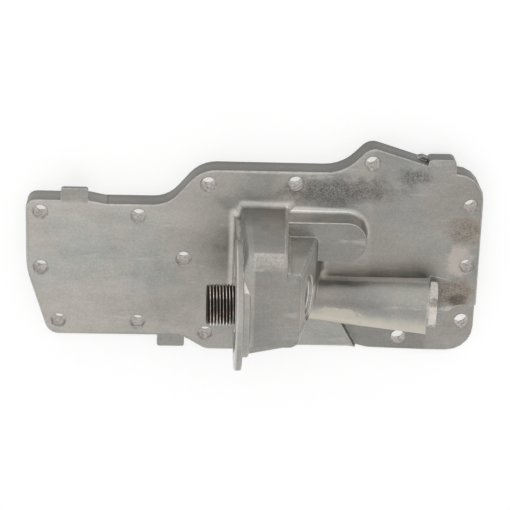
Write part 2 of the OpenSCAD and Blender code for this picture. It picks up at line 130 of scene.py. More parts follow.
# Steels: name, colour, roughness, lowest and highest tone, how many radians its turned
# rings make per millimetre, depth of the relief in metres, and share of the oil film
STEELS = {
    "port": (
        "Cut port thread", (0.56, 0.55, 0.52), 0.3, (0.8, 1.1), 3.0, 0.00001, 0.25),
    "regulator_plug": (
        "Plated plug steel", (0.60, 0.58, 0.54), 0.24, (0.84, 1.06), 6.0, 0.00002, 0.25),
    "regulator_washer": (
        "Crushed washer alloy", (0.52, 0.51, 0.48), 0.42, (0.75, 1.1), 3.0, 0.00001, 0.3),
    "regulator_plunger": (
        "Ground plunger steel", (0.46, 0.455, 0.44), 0.22, (0.85, 1.1), 8.0, 0.000004, 0.2),
    "regulator_spring": (
        "Oiled spring wire", (0.20, 0.195, 0.19), 0.34, (0.8, 1.15), 2.0, 0.000006, 0.35),
    "bypass_cage": (
        "Pressed cage steel", (0.50, 0.46, 0.36), 0.33, (0.8, 1.1), 4.0, 0.000008, 0.25),
    "bypass_disc": (
        "Lapped disc steel", (0.42, 0.42, 0.41), 0.22, (0.85, 1.1), 9.0, 0.000004, 0.15),
    "bypass_spring": (
        "Fine spring wire", (0.24, 0.235, 0.23), 0.32, (0.8, 1.15), 2.0, 0.000004, 0.3),
    "bypass_clip": (
        "Blue clip steel", (0.17, 0.175, 0.20), 0.36, (0.8, 1.15), 2.0, 0.000006, 0.3),
}

# Studio: each lamp's name, place, aim, size and setting, and how the camera stands
LAMPS = (
    ("Top light", (-0.15, -0.35, 1.5), (0, 0, 0), (1.3, 1.0), "top"),
    ("Side light", (0.25, -1.25, 0.75), (0.02, 0, 0.03), (1.2, 0.6), "side"),
    ("Front light", (0.1, 0.8, 1.5), (0, 0, 0), (0.9, 0.5), "front"),
    ("Rim light", (0.0, 1.35, 0.5), (0, 0, 0.03), (1.7, 0.7), "rim"),
)
CAMERA_AT = (-0.0490, 0.4205, 1.1442)
CAMERA_RIGHT = (0.9990, 0.0297, 0.0330)
CAMERA_BACK = (-0.0413, 0.3510, 0.9354)


def tilted(degrees):
    """Unit vector that leans up from +X by an angle."""
    a = math.radians(degrees)
    return np.array([math.cos(a), 0.0, math.sin(a)])


# ---------------------------------------------------------------- settings


class CastFinish(bpy.types.PropertyGroup):
    colour: FloatVectorProperty(
        name="Casting", description="Colour of the bare casting",
        default=(0.350, 0.331, 0.303), subtype="COLOR", min=0, max=1)
    cool: FloatVectorProperty(
        name="Cool patches", description="Colour of the greyer patches",
        default=(0.310, 0.313, 0.294), subtype="COLOR", min=0, max=1)
    machined: FloatVectorProperty(
        name="Machined", description="Colour of holes and cut faces",
        default=(0.62, 0.60, 0.57), subtype="COLOR", min=0, max=1)
    dirt: FloatVectorProperty(
        name="Dark stain", description="Colour of the sooty patch behind the duct",
        default=(0.075, 0.071, 0.064), subtype="COLOR", min=0, max=1)
    oil: FloatVectorProperty(
        name="Oil stain", description="Colour of baked oil round the regulator",
        default=(0.19, 0.145, 0.10), subtype="COLOR", min=0, max=1)
    edge: FloatProperty(
        name="Edge rounding", description="Radius that the light sees on cast edges",
        default=0.0007, unit="LENGTH", min=0, max=0.003)
    grain: FloatProperty(
        name="Grain", description="Depth of the cast skin's grain",
        default=0.00012, unit="LENGTH", min=0, max=0.001)


class ThreadSizes(bpy.types.PropertyGroup):
    pitch: FloatProperty(
        name="Filter thread pitch", description="Distance between two crests",
        default=1.93 * MM, unit="LENGTH", min=0.001, max=0.003)
    depth: FloatProperty(
        name="Filter thread depth", description="Height of the crests over the roots",
        default=1.15 * MM, unit="LENGTH", min=0.0005, max=0.002)
    port_pitch: FloatProperty(
        name="Port thread pitch", description="Distance between two crests in the side port",
        default=1.5 * MM, unit="LENGTH", min=0.001, max=0.003)
    port_depth: FloatProperty(
        name="Port thread depth", description="Height of the crests in the side port",
        default=0.85 * MM, unit="LENGTH", min=0.0003, max=0.002)
    steps: IntProperty(
        name="Steps round", description="Points round each thread", default=72, min=24, max=160)


class StudioSettings(bpy.types.PropertyGroup):
    top: FloatProperty(
        name="Top light", description="Power of the wide light overhead",
        default=1.6, unit="POWER", min=0)
    front: FloatProperty(
        name="Front light", description="Power of the light beside the camera",
        default=1.5, unit="POWER", min=0)
    side: FloatProperty(
        name="Side light", description="Power of the light on the regulator's side",
        default=0.6, unit="POWER", min=0)
    rim: FloatProperty(
        name="Rim light", description="Power of the light that draws the fillets",
        default=1.2, unit="POWER", min=0)
    sky: FloatProperty(
        name="Room", description="Strength of the even light of the room",
        default=0.36, min=0, max=2)
    lens: FloatProperty(
        name="Lens", description="Focal length of the camera in millimetres",
        default=136.0, min=20, max=300)


# ---------------------------------------------------------------- surfaces


def new_object(name, mesh, sharp):
    """Object in the scene with a smooth mesh whose edges past an angle stay sharp."""
    mesh.polygons.foreach_set("use_smooth", [True] * len(mesh.polygons))
    mesh.set_sharp_from_angle(angle=math.radians(sharp))
    obj = bpy.data.objects.new(name, mesh)
    bpy.context.scene.collection.objects.link(obj)
    return obj


def tube_of_rings(name, x, r, at, axis):
    """Closed ring-shaped surface round an axis. Row i of the two arrays gives, for each
    step round, the distance along the axis and the radius; the last row joins the first,
    so the rows run once round the wall's section."""
    rows, cols = r.shape
    axis = np.asarray(axis, float)
    side = np.cross((0.0, 1.0, 0.0), axis)
    side /= np.linalg.norm(side)
    up = np.cross(axis, side)
    a = np.linspace(0, 2 * np.pi, cols, endpoint=False)
    radial = np.cos(a)[:, None] * up + np.sin(a)[:, None] * -side
    pts = np.asarray(at, float) + x[..., None] * axis + r[..., None] * radial
    i, j = np.meshgrid(np.arange(rows), np.arange(cols), indexing="ij")
    i2, j2 = (i + 1) % rows, (j + 1) % cols
    quads = np.stack([i * cols + j, i * cols + j2, i2 * cols + j2, i2 * cols + j], -1)
    mesh = bpy.data.meshes.new(name)
    mesh.from_pydata((pts.reshape(-1, 3) * MM).tolist(), [], quads.reshape(-1, 4).tolist())
    mesh.update()
    bm = bmesh.new()
    bm.from_mesh(mesh)
    bmesh.ops.recalc_face_normals(bm, faces=bm.faces)
    if bm.calc_volume(signed=True) < 0:
        bmesh.ops.reverse_faces(bm, faces=bm.faces)
    bm.to_mesh(mesh)
    bm.free()
    return new_object(name, mesh, 50)


def crest(along, pitch, steps, flat=0.14):
    """Height from 0 at the root to 1 at the crest of a helical thread: a triangle wave of the
    distance along the axis over the pitch, less the turn round it, with both ends cut flat."""
    a = np.linspace(0, 2 * np.pi, steps, endpoint=False)
    phase = along / pitch - a[None, :] / (2 * np.pi)
    tri = 1 - np.abs(2 * (phase % 1.0) - 1)
    return np.clip((tri - flat) / (1 - 2 * flat), 0, 1)


def filter_thread_rows(p, tip, end, r):
    """Rows round the nipple's wall: through the bore to the tip, back over the thread and
    along the neck. The radius over the thread is the root's plus the depth times the lower
    of the crest's height and the lead-in, which grows from 0 to 1 behind the tip."""
    pitch, depth = p.pitch / MM, p.depth / MM
    neck, lead_in, rows_per_turn = SEAT_X - 1.0, 1.6, 16
    out = np.linspace(tip + 0.35, neck, int((neck - tip) / pitch * rows_per_turn))
    rows = np.concatenate([[end, tip + 0.8, tip], [tip], out, [neck + 0.02, neck + 0.3, end]])
    base = np.concatenate([
        [NIPPLE_BORE_R, NIPPLE_BORE_R, NIPPLE_BORE_R + 0.6], [r - depth], np.full(out.size, r),
        [r - depth, NIPPLE_NECK_R, NIPPLE_NECK_R]])
    x = np.repeat(rows[:, None], p.steps, 1)
    radius = np.repeat(base[:, None], p.steps, 1)
    start = np.clip((x - tip) / lead_in, 0, 1)
    cut = r - depth + depth * np.minimum(crest(x, pitch, p.steps), start)
    body = slice(4, 4 + out.size)
    radius[body] = cut[body]
    return x, radius


def port_thread_rows(p):
    """Rows round the thin lining of the port: down its thread and back along its wall. The
    radius over the thread is the root's less the depth times the lower of the crest's height
    and the run-out, which falls to 0 over the last millimetre at both ends."""
    pitch, depth = p.port_pitch / MM, p.port_depth / MM
    first, last = PORT_THREAD
    rows_per_turn = 12
    inner = np.linspace(first + 0.1, last - 0.1, int((last - first) / pitch * rows_per_turn))
    x = np.repeat(np.concatenate([[first], inner, [last]])[:, None], p.steps, 1)
    run_out = np.clip(np.minimum(x - first, last - x), 0, 1)
    radius = PORT_ROOT_R - depth * np.minimum(crest(x, pitch, p.steps), run_out)
    x = np.vstack([x, np.full((1, p.steps), last), np.full((1, p.steps), first)])
    radius = np.vstack([radius, np.full((2, p.steps), PORT_WALL_R)])
    return x, radius


def joined_copy(name, node, flat=True):
    """Copy of a node's mesh with its loose triangles joined, smooth but for its edges past
    40 degrees, and where flat is set with normals that keep its flat faces flat."""
    mesh = NODE[node].data.copy()
    mesh.name = name
    bm = bmesh.new()
    bm.from_mesh(mesh)
    bmesh.ops.remove_doubles(bm, verts=bm.verts, dist=1e-6)
    bm.to_mesh(mesh)
    bm.free()
    if mesh.attributes.get("custom_normal"):
        mesh.attributes.remove(mesh.attributes["custom_normal"])
    mesh.materials.clear()
    obj = new_object(name, mesh, 40)
    if flat:
        weigh = obj.modifiers.new("Flat faces stay flat", "WEIGHTED_NORMAL")
        weigh.keep_sharp = True
    return obj


def sprung_coil(name, node, at, axis):
    """Copy of a coil spring with turned steel round the axis, which hides the node that it stands
    for."""
    obj = joined_copy(name, node, flat=False)
    obj.data.materials.append(steel_material(node, at, axis))
    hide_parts(node)
    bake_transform(obj)


def machined_faces(mesh):
    """Share of cutting on each face: 1 in the bolt holes, on the gasket face, the filter
    seat and its groove, the port and the regulator bore; 0 on the cast skin."""
    c, v = np.empty((2, len(mesh.polygons) * 3))
    mesh.polygons.foreach_get("center", c)
    mesh.polygons.foreach_get("normal", v)
    c, v = c.reshape(-1, 3) / MM, v.reshape(-1, 3)
    touch = 0.05
    cut = c[:, 2] < touch
    for x, y in HOLES:
        near = np.hypot(c[:, 0] - x, c[:, 1] - y) < HOLE_R + 0.12
        cut |= near & (np.abs(v[:, 2]) < 0.5)
    off = np.hypot(c[:, 1] - HEAD_Y, c[:, 2] - HEAD_Z)
    in_seat = (c[:, 0] > SEAT_X - 0.2) & (c[:, 0] < SEAT_X + GROOVE_DEPTH) & (off < SEAT_R)
    cut |= in_seat & (c[:, 2] > 25) & (v[:, 0] < 0.1)
    for at, tilt, reach, length in TURNED:
        d = c - np.array(at)
        t = d @ tilted(tilt)
        off = np.linalg.norm(d - t[:, None] * tilted(tilt), axis=1)
        cut |= (off < reach) & (t < 0.3) & (t > -length)
    cut |= np.abs((c - np.array(PLUG_AT)) @ tilted(PLUG_TILT)) < touch
    return cut.astype(np.float32)


# ---------------------------------------------------------------- materials


class Nodes:
    """Short hand for a material's node tree. Distances in it are millimetres."""

    def __init__(self, name):
        self.mat = bpy.data.materials.new(name)
        self.mat.use_nodes = True
        self.tree = self.mat.node_tree
        self.tree.nodes.clear()
        self.shader = self.add("ShaderNodeBsdfPrincipled")
        out = self.add("ShaderNodeOutputMaterial")
        self.link(self.shader.outputs[0], out.inputs["Surface"])
        coords = self.add("ShaderNodeTexCoord")
        self.co = self.vector("SCALE", coords.outputs["Object"], 1 / MM)
        self.facing = coords.outputs["Normal"]

    def add(self, kind, **settings):
        node = self.tree.nodes.new(kind)
        for key, value in settings.items():
            setattr(node, key, value)
        return node

    def link(self, a, b):
        self.tree.links.new(a, b)

    def put(self, socket, value):
        """Links a socket to another, or sets it to a number, a vector or an opaque colour."""
        if isinstance(value, bpy.types.NodeSocket):
            self.link(value, socket)
        elif isinstance(value, tuple) and len(value) == 3 and len(socket.default_value) == 4:
            socket.default_value = (*value, 1)
        else:
            socket.default_value = value

    def vector(self, op, a, b=None):
        node = self.add("ShaderNodeVectorMath", operation=op)
        self.put(node.inputs[0], a)
        if op == "SCALE":
            self.put(node.inputs["Scale"], b)
        elif b is not None:
            self.put(node.inputs[1], b)
        return node.outputs["Value" if op in {"LENGTH", "DOT_PRODUCT"} else "Vector"]

    def math(self, op, a, b=0.0):
        node = self.add("ShaderNodeMath", operation=op)
        self.put(node.inputs[0], a)
        self.put(node.inputs[1], b)
        return node.outputs[0]

    def fold(self, op, values):
        """Several values joined one after the other by the same operation."""
        total = values[0]
        for value in values[1:]:
            total = self.math(op, total, value)
        return total

    def both(self, *shares):
        """Product of several shares."""
        return self.fold("MULTIPLY", shares)

    def most(self, *shares):
        """Highest of several shares."""
        return self.fold("MAXIMUM", shares)

    def total(self, *values):
        """Sum of several values."""
        return self.fold("ADD", values)

    def span(self, value, lo, hi, a=0.0, b=1.0, smooth=True):
        """Value between lo and hi spread over a to b, held at the ends."""
        kind = "SMOOTHSTEP" if smooth else "LINEAR"
        node = self.add("ShaderNodeMapRange", interpolation_type=kind)
        sockets = ("Value", "From Min", "From Max", "To Min", "To Max")
        for key, v in zip(sockets, (value, lo, hi, a, b)):
            self.put(node.inputs[key], v)
        return node.outputs[0]

    def fades(self, value, lo, hi):
        """1 up to lo, falling to 0 at hi."""
        return self.span(value, lo, hi, 1.0, 0.0)

    def within(self, value, lo, hi, soft):
        """1 between two values, falling to 0 over a soft distance outside them."""
        return self.both(self.span(value, lo - soft, lo), self.fades(value, hi, hi + soft))

    def parts(self, vector):
        """The three parts of a vector."""
        node = self.add("ShaderNodeSeparateXYZ")
        self.put(node.inputs[0], vector)
        return node.outputs[0], node.outputs[1], node.outputs[2]

    def curve(self, value, *stops):
        """Value led through a list of (place, height) pairs with straight lines between them."""
        node = self.add("ShaderNodeValToRGB")
        ramp = node.color_ramp
        lo, hi = stops[0][0], stops[-1][0]
        for k, (place, height) in enumerate(stops):
            at = (place - lo) / (hi - lo)
            stop = ramp.elements[k] if k < 2 else ramp.elements.new(at)
            stop.position, stop.color = at, (height / 2, height / 2, height / 2, 1)
        self.put(node.inputs[0], self.span(value, lo, hi, smooth=False))
        return self.math("MULTIPLY", node.outputs[0], 2.0)

    def noise(self, size, detail=3.0, rough=0.55, stretch=None, turn=0.0, shift=0.0):
        """Noise whose blotches are about as big as size, in millimetres."""
        co = self.co
        if stretch or turn or shift:
            m = self.add("ShaderNodeMapping")
            self.put(m.inputs["Vector"], co)
            m.inputs["Location"].default_value = (shift, shift * 0.7, shift * 0.3)
            m.inputs["Rotation"].default_value = (0, 0, math.radians(turn))
            m.inputs["Scale"].default_value = stretch or (1, 1, 1)
            co = m.outputs[0]
        node = self.add("ShaderNodeTexNoise")
        self.put(node.inputs["Vector"], co)
        node.inputs["Scale"].default_value = 1 / size
        node.inputs["Detail"].default_value = detail
        node.inputs["Roughness"].default_value = rough
        return node.outputs["Fac"]

    def mix(self, share, a, b, kind="MIX"):
        node = self.add("ShaderNodeMix", data_type="RGBA", blend_type=kind)
        self.put(node.inputs["Factor"], share)
        self.put(node.inputs[6], a)
        self.put(node.inputs[7], b)
        return node.outputs[2]

    def coats(self, skin, *layers):
        """Colour under several layers, each with its share and its colour, the last on top."""
        for share, colour in layers:
            skin = self.mix(share, skin, colour)
        return skin

    def toned(self, colour, value):
        """Colour made darker or lighter by a value."""
        node = self.add("ShaderNodeCombineColor")
        for k in range(3):
            self.put(node.inputs[k], value)
        return self.mix(1.0, colour, node.outputs[0], "MULTIPLY")

    def mixed(self, share, a, b):
        """Value between a and b."""
        node = self.add("ShaderNodeMix", data_type="FLOAT")
        self.put(node.inputs[0], share)
        self.put(node.inputs[2], a)
        self.put(node.inputs[3], b)
        return node.outputs[0]

    def patch(self, key, ragged):
        """Share of one of the patches, whose rim is ragged by a noise."""
        centre, size, lo, hi = PATCHES[key]
        away = self.vector("DIVIDE", self.vector("SUBTRACT", self.co, centre), size)
        uneven = self.math("MULTIPLY", self.math("SUBTRACT", ragged, 0.5), 1.3)
        return self.fades(self.total(self.vector("LENGTH", away), uneven), lo, hi)

    def from_axis(self, at, axis):
        """Distance from a line."""
        d = self.vector("SUBTRACT", self.co, tuple(at))
        return self.vector("LENGTH", self.vector("CROSS_PRODUCT", d, tuple(axis)))

    def bump(self, height, distance, normal=None):
        node = self.add("ShaderNodeBump")
        node.inputs["Strength"].default_value = 1.0
        node.inputs["Distance"].default_value = distance
        self.put(node.inputs["Height"], height)
        if normal is not None:
            self.put(node.inputs["Normal"], normal)
        return node.outputs[0]

    def rounded(self, radius):
        """Normal that turns smoothly over edges, and the share of edge at a point."""
        node = self.add("ShaderNodeBevel", samples=6)
        node.inputs["Radius"].default_value = radius
        geo = self.add("ShaderNodeNewGeometry")
        turn = self.vector("DOT_PRODUCT", node.outputs[0], geo.outputs["True Normal"])
        return node.outputs[0], self.span(turn, 0.99, 0.86)

    def finish(self, colour, rough, normal, metallic):
        s = self.shader
        self.put(s.inputs["Base Color"], colour)
        self.put(s.inputs["Roughness"], rough)
        self.put(s.inputs["Metallic"], metallic)
        self.put(s.inputs["Normal"], normal)
        return self.mat


class CastSkin(Nodes):
    """Node tree of the casting, with what several of its coats need: the place and facing of
    a point, three noises, the duct and the boss, and the distance from the nearest hole."""

    def __init__(self, p):
        super().__init__("Cast aluminium skin")
        self.cut = self.add("ShaderNodeAttribute", attribute_name="machined").outputs["Fac"]
        self.x, self.y, self.z = self.parts(self.co)
        self.nx, self.ny, self.nz = self.parts(self.facing)
        self.up = self.math("ABSOLUTE", self.nz)
        self.mottle = self.noise(9, 5, 0.62)
        self.speck = self.noise(1.3, 3, 0.6)
        self.fine = self.noise(0.8, 3, 0.7)
        self.soft, self.edge = self.rounded(p.edge)
        self.duct = self.both(
            self.within(self.x, 16, 73, 2), self.within(self.z, 30, 37, 3),
            self.span(self.y, -4, 0))
        self.boss = self.both(
            self.span(self.x, 33, 36), self.span(self.z, FLANGE_TOP + 0.2, FLANGE_TOP + 1.2),
            self.span(self.y, -10.0, -11.5))
        half = self.total(self.both(self.x, BOSS_TAPER), BOSS_R)
        self.across = self.math("DIVIDE", self.total(self.y, -BOSS_Y), half)
        self.hole = self.from_hole()
        self.in_hole = self.fades(self.hole, HOLE_R + 0.2, HOLE_R + 0.5)

    def from_hole(self):
        """Distance from the axis of the nearest bolt hole."""
        nearest = []
        for x, y in HOLES:
            away = self.vector("SUBTRACT", self.co, (x, y, 0))
            nearest.append(self.vector("LENGTH", self.vector("MULTIPLY", away, (1, 1, 0))))
        return self.fold("MINIMUM", nearest)


def uneven_tone(n):
    """Brightness of the skin: broad and small unevenness, darker towards the regulator."""
    broad = n.span(n.noise(55, 3, 0.5), 0.3, 0.7, 0.95, 1.05)
    flow = n.span(n.noise(14, 4, 0.6, (0.22, 1.0, 0.6), -14), 0.35, 0.7, -0.06, 0.06)
    small = n.span(n.mottle, 0.25, 0.75, -0.08, 0.08)
    grains = n.span(n.speck, 0.3, 0.7, -0.07, 0.07)
    along = n.span(n.x, -140, 60, 1.07, 0.88, smooth=False)
    return n.both(n.total(broad, small, flow, grains), along)


def boss_painted_shading(n):
    """Painted light and shade on the boss: across it from its lit outer side over the dark band
    on its top to its inner side, which is dimmer halfway along, and even on the steep outer side."""
    tone = n.curve(
        n.across, (-1.0, 1.9), (-0.6, 1.7), (-0.38, 1.38), (-0.2, 1.16), (0.0, 0.94),
        (0.12, 0.90), (0.3, 1.04), (0.5, 1.22), (0.75, 1.3), (0.9, 1.45), (1.05, 1.8))
    halfway = n.curve(n.x, (36, 1.0), (48, 0.84), (58, 0.74), (84, 1.02))
    tone = n.both(tone, n.mixed(n.span(n.across, 0.0, 0.25), 1.0, halfway))
    outer = n.both(n.span(n.across, -0.5, -0.8), n.span(n.nz, 0.5, 0.15))
    return n.mixed(outer, tone, 1.15)


def painted_zone_shading(n, shade):
    """Brightness with light and shade painted on each zone by how it faces the room's lamps, with
    the seam and a darker patch.
    """
    x, y, z, nx, ny, nz, up = n.x, n.y, n.z, n.nx, n.ny, n.nz, n.up
    side = n.both(n.fades(up, 0.35, 0.6), n.fades(z, FLANGE_TOP - 1.8, FLANGE_TOP))
    zones = (
        # Side walls of the flange in painted shade, the seam in them at the left step, and what
        # lies left of it, lighter
        (side, n.curve(z, (0, 0.54), (8, 0.66), (16.5, 0.50))),
        (n.both(side, n.within(x, -91.6, -91.2, 0.5), n.span(y, 20, 24)), 0.6),
        (n.both(side, n.span(x, -91, -92)), 1.13),
        # Painted highlight on the fillets at the feet of the neck, the duct and the boss
        (n.both(n.within(z, FLANGE_TOP + 0.3, FLANGE_TOP + 4.5, 0.8), n.within(up, 0.2, 0.93, 0.1),
                n.span(x, 74, 72)), 1.62),
        # Painted shade on the front of the duct, and painted light on its wall towards +Y
        (n.both(n.duct, n.span(nz, 0.5, 0.9)), n.span(x, 27, 36, 0.76, 0.87)),
        (n.both(n.within(x, 20, 73, 2), n.within(z, 19, 35, 1), n.span(ny, 0.5, 0.8),
                n.span(y, 20, 24)), 1.86),
        # Painted light and shade across the boss
        (n.boss, boss_painted_shading(n)),
        # Painted light on the slanted wall of the lowered corner
        (n.both(n.within(x, 52, 70, 2), n.within(z, LOW_TOP + 0.3, FLANGE_TOP - 0.2, 0.2),
                n.span(y, -36, -40), n.span(nx, 0.4, 0.7)), 2.38),
        # Painted light on the seat disc, painted shade on the front of the neck, and painted light
        # on the slanted end with the port and on the block beside it
        (n.both(n.fades(x, -3.2, -2.4), n.span(z, 26, 34)), 1.14),
        (n.both(n.span(z, 93.5, 95.5), n.span(x, -2.4, -1.6)),
         n.span(x, 0, 26, 0.82, 0.94, smooth=False)),
        (n.both(n.span(nx, 0.75, 0.93), n.span(z, 38, 48), n.within(x, 18, 42, 2)),
         n.span(y, -14, 6, 1.98, 2.14)),
        (n.both(n.span(ny, 0.8, 0.95), n.span(z, 36, 37), n.within(x, 22, 36, 4)), 1.38),
        # Painted highlight on the rounded top of the neck
        (n.both(n.both(n.span(z, 90.0, 91.5), n.span(up, 0.3, 0.5), n.span(y, 14, 24),
                       n.within(x, -2.2, 16.5, 1.5)), n.span(n.speck, 0.3, 0.6, 0.65, 1.0)), 1.5),
        # Painted shade on the front of the lowered corner and the lugs, and a darker patch beside
        # the nipple
        (n.both(n.fades(z, LOW_TOP + 0.2, LOW_TOP + 1.2), n.within(x, 40, 108, 6),
                n.span(nz, 0.8, 0.95)), 0.80),
        (n.both(n.within(z, FLANGE_TOP - 0.4, FLANGE_TOP - 0.1, 0.08), n.span(x, 0, -5),
                n.span(nz, 0.9, 0.99)), 0.84),
        (n.patch("darker beside nipple", n.mottle), 0.88),
    )
    for share, tone in zones:
        shade = n.both(shade, n.mixed(share, 1.0, tone))
    return shade


def flow_lines(n):
    """Share of the light flow lines and fine scratches on the faces that look up."""
    lines = n.both(n.span(n.noise(5.5, 5, 0.7, (0.14, 1.0, 1.0), -9, 40), 0.56, 0.68), 0.5)
    fine = n.span(n.noise(2.0, 4, 0.7, (0.10, 1.0, 1.0), 7, 15), 0.60, 0.72, 0.0, 0.6)
    where = n.span(n.noise(24, 3, 0.6, shift=60), 0.42, 0.60)
    return n.both(n.most(lines, fine), where, n.span(n.nz, 0.8, 0.95), 0.95)


def soot(n):
    """Share of soot behind the duct and at the lobe, and of a darker band at the foot of the neck.
    """
    behind = n.both(n.patch("soot", n.mottle), n.span(n.fine, 0.34, 0.62, 1.0, 0.35))
    dabs = n.span(n.noise(1.5, 5, 0.75), 0.38, 0.62, 0.85, 0.1)
    return n.most(behind, n.both(n.patch("smudge", n.mottle), dabs),
                  # Darker band at the foot of the neck
                  n.both(n.patch("foot", n.mottle), 0.22))


def baked_oil(n, ragged):
    """Share of baked oil round the regulator, at the right edge, top left and on the trail."""
    return n.most(
        n.both(n.patch("scoop", n.mottle), 0.88), n.both(n.patch("corner", ragged), 0.85),
        n.both(n.patch("left", n.mottle), 0.22), n.both(n.patch("trail", n.mottle), 0.22))


def boss_coats_and_highlights(n):
    """Warm coat along the boss's lit lower side, partly residue and partly painted highlight; a
    bright line along its top, partly its parting line and partly painted highlight; and the dried
    residue on it.
    """
    # Warm coat with painted highlight where the boss's lower side faces the lamps
    glaze_and_highlight = n.both(n.boss, n.span(n.across, -0.1, -0.6), n.span(n.nz, 0.15, 0.5),
                   n.span(n.mottle, 0.3, 0.6, 0.7, 1.0), 0.62)
    # Bright parting line with painted highlight along the top of the boss
    line = n.both(n.boss, n.span(n.ny, 0.955, 0.985), n.span(n.speck, 0.3, 0.6, 0.6, 1.0), 0.75)
    crust = n.both(n.patch("crust", n.noise(4, 5, 0.75)), n.span(n.fine, 0.3, 0.7, 0.85, 0.45))
    return (glaze_and_highlight, GLAZE_AND_HIGHLIGHT), (line, PARTING_LINE_HIGHLIGHT), (crust, CRUST)


def edge_wear_and_highlights(n):
    """Share of lighter colour on the edges, partly wear and partly painted highlight, on cast
    corners, the roundings of the flange and the duct and the upright corners of the neck; and
    the rough gate on the web."""
    # Lighter rims and corners, partly wear and partly painted highlight
    flange = n.both(n.within(n.z, FLANGE_TOP - 1.4, FLANGE_TOP - 0.1, 0.1), 0.34)
    duct = n.both(n.within(n.z, 35.1, 35.7, 0.1), n.duct, 0.5)
    rims = n.both(n.most(flange, duct), n.within(n.up, 0.55, 0.88, 0.07))
    turn = n.both(n.math("ABSOLUTE", n.nx), n.math("ABSOLUTE", n.ny))
    corners = n.both(n.span(turn, 0.2, 0.4), n.within(n.x, 9, 40, 1), n.span(n.z, 20, 23),
                     n.span(n.up, 0.5, 0.3), 0.7)
    broken = n.span(n.noise(3, 4, 0.7), 0.32, 0.6, 0.35, 1.0)
    wear_and_highlight = n.both(n.most(n.edge, rims, corners), broken)
    rough = n.span(n.noise(1.2, 3, 0.6), 0.3, 0.6, 0.55, 1.0)
    gate = n.both(n.patch("gate", n.mottle), rough, 0.9)
    return n.both(n.most(wear_and_highlight, gate), 0.9)


def cut_metal(n, colour):
    """Colour of the cut faces, with light hole walls that have rust-brown marks."""
    wall = n.both(n.in_hole, n.span(n.fine, 0.3, 0.6, 1.0, 0.6))
    streaks = n.span(n.noise(2.0, 4, 0.75, (1.0, 1.0, 1.6)), 0.44, 0.58)
    return n.coats(n.toned(colour, n.span(n.speck, 0.2, 0.8, 0.84, 1.10)),
                   (wall, HOLE_WALL), (n.both(n.in_hole, streaks, 0.8), HOLE_MARKS))


def casting_relief(n, stains, depth):
    """Normal with the skin's grain, coarser under stains, and with turned rings where cut."""
    grain = n.total(n.both(n.speck, 0.7), n.both(n.noise(5, 4, 0.6), 0.9),
                    n.both(stains, n.both(n.fine, 1.4)))
    rings = n.math("SINE", n.both(n.from_axis((0, HEAD_Y, HEAD_Z), (1, 0, 0)), 14.0))
    normal = n.add("ShaderNodeMix", data_type="VECTOR")
    n.put(normal.inputs["Factor"], n.cut)
    n.put(normal.inputs[4], n.bump(grain, depth, n.soft))
    n.put(normal.inputs[5], n.bump(rings, 0.000008, n.soft))
    return normal.outputs[1]


def casting_material(p):
    """Cast aluminium: mottled skin with flow marks and light and shade painted by zone, soot
    behind the duct, baked oil round the regulator, edges lighter partly by wear and partly by
    painted highlight, painted highlights on the boss, and bright turned or milled faces where it
    is cut."""
    n = CastSkin(p)
    cool = n.span(n.noise(38, 4, 0.6, shift=90), 0.42, 0.66)
    skin = n.mix(cool, tuple(p.colour), tuple(p.cool))
    # Painted light and shade of each zone over the uneven tone
    skin = n.toned(skin, painted_zone_shading(n, uneven_tone(n)))

    dark = soot(n)
    ragged = n.noise(7, 6, 0.72, shift=30)
    oily = baked_oil(n, ragged)
    grit = n.span(n.noise(1.1, 4, 0.7), 0.38, 0.60, 1.0, 0.25)
    rubbed = n.both(n.patch("rubbed", ragged), n.span(n.fine, 0.3, 0.6, 1.0, 0.6), 0.66)
    burnt = n.both(n.patch("burnt", n.mottle), n.span(n.fine, 0.35, 0.65, 1.0, 0.4), 0.8)
    grime = n.both(n.fades(n.hole, HOLE_R + 0.1, HOLE_R + 1.0),
                   n.span(n.noise(2.5, 4, 0.7), 0.38, 0.58, 0.85, 0.15))
    # Stains and marks, with painted highlights on the boss and the edges
    skin = n.coats(
        skin, (flow_lines(n), SCRATCH), (n.both(dark, 0.82), tuple(p.dirt)), (rubbed, RUBBED),
        (n.both(oily, grit), tuple(p.oil)), (burnt, BURNT), *boss_coats_and_highlights(n), (grime, HOLE_GRIME),
        (edge_wear_and_highlights(n), EDGE_WEAR_AND_HIGHLIGHT))

    colour = n.mix(n.cut, skin, cut_metal(n, tuple(p.machined)))
    rough = n.total(n.span(n.mottle, 0.2, 0.8, 0.36, 0.50), n.both(dark, 0.12))
    return n.finish(colour, n.mixed(n.cut, rough, 0.30),
                    casting_relief(n, n.most(dark, oily), p.grain),
                    n.mixed(n.both(n.cut, n.in_hole), 0.85, 1.0))


def plug_shade_and_stain(n, mottle):
    """Painted shade on the plug's flat that looks up, and a dark blotch on its ridge."""
    facing = n.vector("DOT_PRODUCT", n.facing, (-0.16, 0.0, 0.99))
    patchy = n.span(n.noise(3.5, 4, 0.6), 0.3, 0.6, 1.0, 0.6)
    # Painted shade on the flat that faces up
    layer = n.both(n.span(facing, 0.93, 0.985), patchy, 0.6)
    return (layer, PLUG_FACET_SHADE), (n.both(n.patch("plug ridge", mottle), 0.75), PLUG_STAIN)


